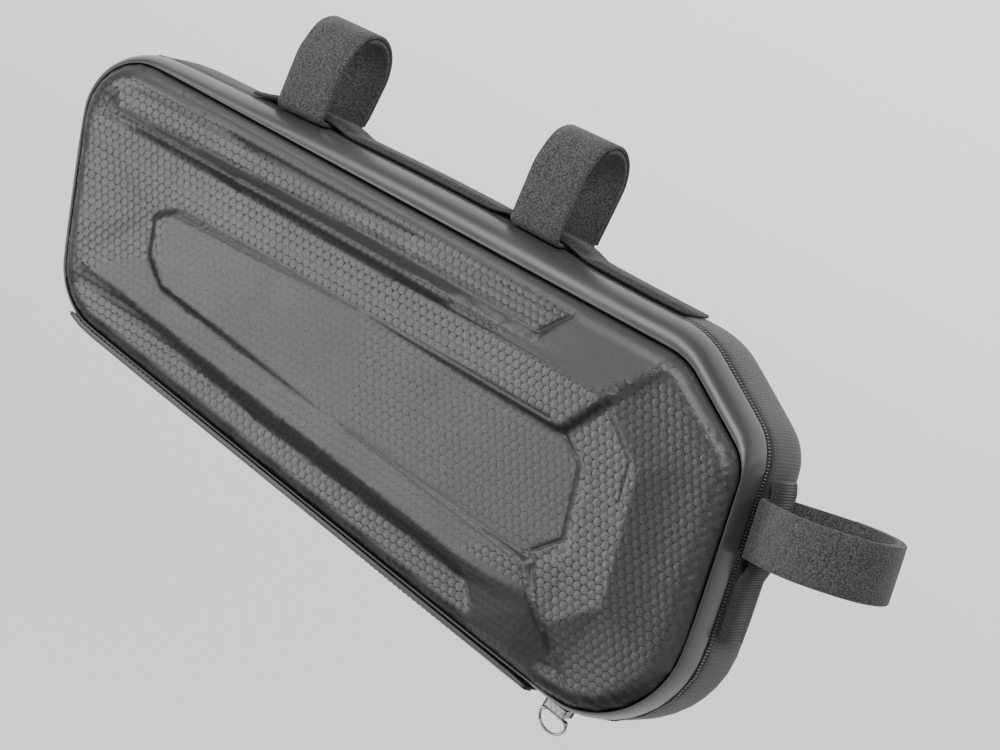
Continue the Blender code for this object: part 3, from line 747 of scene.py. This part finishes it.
def woven_finish(name, dark, light, thread, depth, roughness=0.85, sheen=0.0):
    material, tree, shader, place = new_finish(name, roughness, specular=0.3, sheen=sheen)
    cloth = placed(tree, "weave", place, Thread=thread)
    rough = placed(tree, "grain", place, Fineness=1400.0)
    tone = sums(tree, "ADD", sums(tree, "MULTIPLY", cloth.outputs["Crown"], 0.6),
                sums(tree, "MULTIPLY", rough.outputs["Drift"], 0.4))
    tree.links.new(shade(tree, tone, dark, light), shader.inputs["Base Color"])
    tree.links.new(remap(tree, rough.outputs["Grain"], 0.3, 0.7, roughness - 0.06, roughness + 0.06),
                   shader.inputs["Roughness"])
    bump(tree, shader, sums(tree, "ADD", cloth.outputs["Crown"], rough.outputs["Grain"]), depth)
    return material


def row_tree(name, shape):
    """A tree that sets one small shape after another along lines of points,
    turned to the line and to the surface that the line lies on."""
    tree = bpy.data.node_groups.new(name, "GeometryNodeTree")
    tree.is_modifier = True
    tree.interface.new_socket(name="Line", in_out="INPUT", socket_type="NodeSocketGeometry")
    for label, value in (("Pitch", 0.0025), ("Length", 0.0018), ("Width", 0.0005), ("Height", 0.0004),
                         ("Lift", 0.0), ("Slant", 0.0)):
        made = tree.interface.new_socket(name=label, in_out="INPUT", socket_type="NodeSocketFloat")
        made.default_value = value
    tree.interface.new_socket(name="Finish", in_out="INPUT", socket_type="NodeSocketMaterial")
    tree.interface.new_socket(name="Row", in_out="OUTPUT", socket_type="NodeSocketGeometry")

    def node(kind, **wired):
        made = tree.nodes.new(kind)
        for label, source in wired.items():
            tree.links.new(source, made.inputs[label.replace("_", " ")])
        return made

    start = tree.nodes.new("NodeGroupInput").outputs
    line = node("GeometryNodeMeshToCurve", Mesh=start["Line"])
    even = node("GeometryNodeResampleCurve", Curve=line.outputs["Curve"])
    even.mode = "LENGTH"
    tree.links.new(start["Pitch"], even.inputs["Length"])
    out = node("GeometryNodeInputNamedAttribute")
    out.data_type = "FLOAT_VECTOR"
    out.inputs["Name"].default_value = "out"
    turned = node("FunctionNodeAxesToRotation", Primary_Axis=out.outputs["Attribute"],
                  Secondary_Axis=node("GeometryNodeInputTangent").outputs["Tangent"])
    turned.primary_axis = "Z"
    turned.secondary_axis = "X"
    if shape == "bar":
        solid = node("GeometryNodeMeshCylinder")
        solid.inputs["Vertices"].default_value = 8
        solid.inputs["Radius"].default_value = 0.5
        solid.inputs["Depth"].default_value = 1.0
        laid = node("GeometryNodeTransform", Geometry=solid.outputs["Mesh"])
        laid.inputs["Rotation"].default_value = (math.pi / 2, 0, 0)
        unit = laid.outputs["Geometry"]
    else:
        solid = node("GeometryNodeMeshUVSphere")
        solid.inputs["Segments"].default_value = 8
        solid.inputs["Rings"].default_value = 6
        solid.inputs["Radius"].default_value = 0.5
        unit = solid.outputs["Mesh"]
    size = node("ShaderNodeCombineXYZ", X=start["Length"], Y=start["Width"], Z=start["Height"])
    each = node("GeometryNodeInstanceOnPoints", Points=even.outputs["Curve"], Instance=unit,
                Rotation=turned.outputs["Rotation"], Scale=size.outputs["Vector"])
    lifted = node("GeometryNodeTranslateInstances", Instances=each.outputs["Instances"],
                  Translation=node("ShaderNodeCombineXYZ", Z=start["Lift"]).outputs["Vector"])
    slanted = node("GeometryNodeRotateInstances", Instances=lifted.outputs["Instances"],
                   Rotation=node("ShaderNodeCombineXYZ", Z=start["Slant"]).outputs["Vector"])
    real = node("GeometryNodeRealizeInstances", Geometry=slanted.outputs["Instances"])
    painted = node("GeometryNodeSetMaterial", Geometry=real.outputs["Geometry"], Material=start["Finish"])
    end = tree.nodes.new("NodeGroupOutput")
    tree.links.new(painted.outputs["Geometry"], end.inputs["Row"])
    return tree


THREAD_ROW = row_tree("thread_row", "thread")
BAR_ROW = row_tree("bar_row", "bar")


def row(name, lines, tree, finish, slot, closed=False, **sizes):
    """One plain mesh of the small parts set along lines of (point, outward)."""
    points, outward, edges = [], [], []
    for line in lines:
        first = len(points)
        points += [point for point, _ in line]
        outward += [out for _, out in line]
        edges += [(first + i, first + i + 1) for i in range(len(line) - 1)]
        if closed:
            edges.append((len(points) - 1, first))
    mesh = bpy.data.meshes.new(name)
    mesh.from_pydata(points, edges, [])
    mark = mesh.attributes.new("out", "FLOAT_VECTOR", "POINT")
    mark.data.foreach_set("vector", [c for out in outward for c in out])
    obj = bpy.data.objects.new(name, mesh)
    bpy.context.scene.collection.objects.link(obj)
    modifier = obj.modifiers.new("row", "NODES")
    modifier.node_group = tree
    names = {item.name: item.identifier for item in tree.interface.items_tree if item.in_out == "INPUT"}
    modifier[names["Finish"]] = finish
    for label, value in sizes.items():
        modifier[names[label]] = value
    settle(obj, 0)
    return belong(obj, "bag", slot)


def laid(node, corners, toward, step=0.001):
    """Places on a CAD solid's surface where a line through the corners falls
    when it is sent in one direction, each with the surface's own direction."""
    solid = merged(node)
    tree = BVHTree.FromBMesh(solid)
    way = Vector(toward).normalized()
    line = []
    for a, b in zip(corners, corners[1:]):
        a, b = Vector(a), Vector(b)
        steps = max(1, int((b - a).length / step))
        for k in range(steps + 1):
            spot, out, _, _ = tree.ray_cast(a.lerp(b, k / steps) - way, way)
            if spot is not None:
                line.append((spot, out if out.dot(way) < 0 else -out))
    solid.free()
    return line


def tape_line(bm, y):
    """The tape's outermost loop of points at one depth, in order, each with
    its direction away from the bag's middle line."""
    on = [v for v in bm.verts if abs(v.co.y - y) < 1e-5]
    near = {v: [e.other_vert(v) for e in v.link_edges if abs(e.other_vert(v).co.y - y) < 1e-5] for v in on}
    start = on[0]
    line, came, vert = [], None, start
    while True:
        line.append(vert.co.copy())
        came, vert = vert, [v for v in near[vert] if v is not came][0]
        if vert is start:
            break
    middle = sum(line, Vector()) / len(line)
    outward = []
    for i, point in enumerate(line):
        run = (line[(i + 1) % len(line)] - line[i - 1]).normalized()
        out = run.cross(Vector((0, 1, 0))).normalized()
        outward.append(out if out.dot(point - middle) > 0 else -out)
    return list(zip(line, outward))


CROWN_HALF = 0.0008
tape_cloth = woven_finish("zip_tape_cloth", 0.005, 0.014, 0.0006, 0.00012)
carried("zip_tape_cloth", "zip_tape", "bag", tape_cloth, "zip_cloth", 1)

tape_low, tape_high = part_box("zip_tape")
tape_middle = (tape_low.y + tape_high.y) / 2
tape_solid = merged("zip_tape")
crown_y = min((v.co.y for v in tape_solid.verts), key=lambda y: abs(y - tape_middle + CROWN_HALF))
crown = [(Vector((p.x, tape_middle, p.z)), out) for p, out in tape_line(tape_solid, crown_y)]
tape_solid.free()
tooth_plastic = smooth_finish("tooth_plastic", 0.030, 0.050, 0.32, 900.0, 0.00002)
row("zip_teeth", [crown], THREAD_ROW, tooth_plastic, "zip_cloth", closed=True,
    Pitch=0.00135, Length=0.00085, Width=0.0027, Height=0.0008, Lift=0.0)


# The back half: foam under plain woven cloth. Its flat back is a sheet of even
# triangles that is blown up a little by the cloth simulation, as the soft back
# of such a case crowns, while its sides stay on the solid.

BACK_GRID = 0.0042            # spacing of the even triangles
BACK_CAP = 0.0035             # the most that a point may move
BACK_WALL = 0.0024            # foam and cloth
SIM_FRAMES = 20
BACK_CLOTH = {
    "vertex_group_mass": "held",
    "quality": 5,
    "mass": 0.3,
    "tension_stiffness": 25,
    "compression_stiffness": 25,
    "bending_stiffness": 4,
    "shrink_min": -0.012,
    "use_pressure": True,
    "uniform_pressure_force": 4.0,
}

back_low, back_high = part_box("back_shell")


def back_skin():
    """The outer side of the back half's solid, with an even grid over its
    flat back, and the grid's own vertices."""
    bm = merged("back_shell")
    middle = Vector(((back_low.x + back_high.x) / 2, 0, (back_low.z + back_high.z) / 2))
    drop = []
    for face in bm.faces:
        centre = face.calc_center_median()
        away = Vector((centre.x - middle.x, 0, centre.z - middle.z))
        if face.normal.y > 0.99 or face.normal.y < -0.3 or face.normal.dot(away) < 0:
            drop.append(face)
    bmesh.ops.delete(bm, geom=drop, context="FACES")
    quads(bm)
    rim = [e for e in bm.edges if len(e.link_faces) == 1 and e.verts[0].co.y > back_high.y - 1e-4]
    around = []
    near = {}
    for edge in rim:
        for vert in edge.verts:
            near.setdefault(vert, []).append(edge.other_vert(vert))
    vert = start = next(iter(near))
    came = None
    while True:
        around.append(vert)
        came, vert = vert, [v for v in near[vert] if v is not came][0]
        if vert is start:
            break
    plan = [Vector((v.co.x, v.co.z)) for v in around]
    close = KDTree(len(plan))
    for i, p in enumerate(plan):
        close.insert((p.x, p.y, 0), i)
    close.balance()
    outline = [(p.x, p.y) for p in plan]
    xs = np.arange(back_low.x, back_high.x, BACK_GRID)
    zs = np.arange(back_low.z, back_high.z, BACK_GRID * math.sqrt(3) / 2)
    grid = np.array([(x + 0.5 * BACK_GRID * (j % 2), z) for j, z in enumerate(zs) for x in xs])
    grid = grid[inside(outline, grid[:, 0], grid[:, 1])]
    plan += [Vector(p) for p in grid if close.find((p[0], p[1], 0))[2] > BACK_GRID * 0.6]
    flat, _, faces, origins, _, _ = delaunay_2d_cdt(plan, [], [list(range(len(around)))], 1, 1e-7)
    made = []
    for point, origin in zip(flat, origins):
        if origin and origin[0] < len(around):
            made.append(around[origin[0]])
        else:
            made.append(bm.verts.new((point.x, back_high.y, point.y)))
    for face in faces:
        bm.faces.new([made[i] for i in face])
    bmesh.ops.recalc_face_normals(bm, faces=bm.faces)
    if sum(f.normal.y * f.calc_area() for f in bm.faces if abs(f.normal.y) > 0.99) < 0:
        bmesh.ops.reverse_faces(bm, faces=bm.faces)
    return bm


def crown_back(obj):
    """Runs the cloth with its sides held, and caps how far a point may move."""
    start = np.array([v.co for v in obj.data.vertices])
    held = obj.vertex_groups.new(name="held")
    for vert in obj.data.vertices:
        held.add([vert.index], 1.0 if vert.co.y < back_high.y - 1e-4 else 0.0, "REPLACE")
    cloth = obj.modifiers.new("cloth", "CLOTH")
    for setting, value in BACK_CLOTH.items():
        setattr(cloth.settings, setting, value)
    cloth.settings.effector_weights.gravity = 0
    cloth.point_cache.frame_start = 1
    cloth.point_cache.frame_end = SIM_FRAMES
    for number in range(1, SIM_FRAMES + 1):
        bpy.context.scene.frame_set(number)
    settle(obj, 0)
    bpy.context.scene.frame_set(1)
    blown = np.array([v.co for v in obj.data.vertices])
    moved = blown - start
    far = np.linalg.norm(moved, axis=1, keepdims=True)
    capped = start + moved * np.minimum(1, BACK_CAP / np.maximum(far, 1e-9))
    obj.data.vertices.foreach_set("co", capped.astype(np.float32).ravel())
    obj.vertex_groups.clear()


back_cloth = woven_finish("back_cloth", 0.010, 0.024, 0.0009, 0.00022, roughness=0.72, sheen=0.12)
back_half = place_piece("back_half_cloth", back_skin(), back_cloth, 0)
crown_back(back_half)
wall = back_half.modifiers.new("wall", "SOLIDIFY")
wall.thickness = BACK_WALL
wall.offset = -1
fine = back_half.modifiers.new("fine", "SUBSURF")
fine.levels = fine.render_levels = 1
settle(back_half, 50)
belong(back_half, "bag", "gusset_cloth", "back_shell")


# The hinge strip: a doubled strip of the band's skin folded over the bottom
# edge and sewn down along both of its sides.

hinge_skin = smooth_finish("hinge_skin", 0.016, 0.026, 0.5, 1500.0, 0.00008)
carried("hinge_strip_skin", "hinge_strip", "bag", hinge_skin, "band_skin", 1)

thread = woven_finish("sewing_thread", 0.05, 0.10, 0.0004, 0.00004, roughness=0.6)
strip_low, strip_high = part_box("hinge_strip")
STRIP_EDGE = 0.0010
STRIP_BACK_EDGE = 0.002
STRIP_END = 0.003
first_x, last_x = strip_low.x + STRIP_END, strip_high.x - STRIP_END
back_y = strip_high.y - STRIP_BACK_EDGE
front_seam = laid("hinge_strip", [(first_x, -0.5, strip_high.z - STRIP_EDGE),
                                  (last_x, -0.5, strip_low.z + STRIP_EDGE)], (0, 1, 0))
back_seam = laid("hinge_strip", [(first_x, back_y, -0.5), (last_x, back_y, -0.5)], (0, 0, 1))
row("hinge_stitches", [front_seam, back_seam], THREAD_ROW, thread, "band_skin",
    Pitch=0.0026, Length=0.0021, Width=0.0005, Height=0.0004, Lift=0.0, Slant=0.25)


# The webbings: narrow ribbed tapes along the top and rear walls that hold the
# straps down. Their ribs run across, and they are sewn along both sides.

webbing_cloth = woven_finish("webbing_cloth", 0.012, 0.026, 0.0005, 0.00010, sheen=0.1)
SEAM_INSET = 0.0019
RIB_END = 0.001
RIB_SIDE = 0.0006
RIB_STEP = 0.0008
top_low, top_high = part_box("top_webbing")
rear_low, rear_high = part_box("rear_webbing")

# Each webbing's node, the direction into its wall, and its ends as x and z.
WEBBINGS = [
    ("top_webbing", (0, 0, -1), [(top_low.x + RIB_END, 0.5), (top_high.x - RIB_END, 0.5)]),
    ("rear_webbing", (-1, 0, 0), [(0.5, rear_high.z - RIB_END), (0.5, rear_low.z + RIB_END)]),
]


def webbing_line(node, toward, ends, y):
    return laid(node, [(x, y, z) for x, z in ends], toward, RIB_STEP)


for node, toward, ends in WEBBINGS:
    side_low, side_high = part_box(node)[0].y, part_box(node)[1].y
    middle_line, low_seam, high_seam = [
        webbing_line(node, toward, ends, y)
        for y in ((side_low + side_high) / 2, side_low + SEAM_INSET, side_high - SEAM_INSET)]
    carried(node + "_cloth", node, "bag", webbing_cloth, "webbing_rib", 1)
    row(node + "_ribs", [middle_line], BAR_ROW, webbing_cloth, "webbing_rib", Pitch=0.00115,
        Length=0.0009, Width=side_high - side_low - 2 * RIB_SIDE, Height=0.0005, Lift=-0.00005)
    row(node + "_stitches", [low_seam, high_seam], THREAD_ROW, thread, "webbing_rib", Pitch=0.0026,
        Length=0.0019, Width=0.0005, Height=0.0005, Lift=0.0003)


# The straps: hook-and-loop bands of short looped pile, closed on themselves with
# the pile side out. Each comes out from under a hump of its webbing.

def pile_finish():
    material, tree, shader, place = new_finish("strap_pile", 0.95, specular=0.2, sheen=0.12)
    fuzz = placed(tree, "grain", place, Fineness=1500.0)
    clump = noise(tree, place, 520.0, 2)
    tone = sums(tree, "ADD", sums(tree, "MULTIPLY", remap(tree, fuzz.outputs["Grain"], 0.34, 0.66), 0.75),
                sums(tree, "MULTIPLY", clump, 0.25))
    tree.links.new(shade(tree, tone, 0.008, 0.062), shader.inputs["Base Color"])
    tree.links.new(remap(tree, fuzz.outputs["Drift"], 0.3, 0.7, 0.88, 1.0), shader.inputs["Roughness"])
    bump(tree, shader, sums(tree, "ADD", fuzz.outputs["Grain"], clump), 0.0005)
    return material


strap_pile = pile_finish()
for node in ("top_strap_front", "top_strap_rear", "seat_strap"):
    carried(node + "_pile", node, "bag", strap_pile, "strap_pile", 2)


# The zip's slider and its ring: plated steel, worn dull in places.

def steel_finish():
    material, tree, shader, place = new_finish("plated_steel", 0.22, metallic=1.0)
    worn = placed(tree, "grain", place, Fineness=700.0)
    tree.links.new(shade(tree, worn.outputs["Grain"], 0.12, 0.30), shader.inputs["Base Color"])
    tree.links.new(remap(tree, worn.outputs["Grain"], 0.3, 0.7, 0.16, 0.34), shader.inputs["Roughness"])
    return material


plated_steel = steel_finish()
carried("zip_slider_body", "zip_slider", "bag", plated_steel, "plated_steel", 0)
carried("zip_ring_wire", "zip_ring", "ring", plated_steel, "plated_steel", 1)
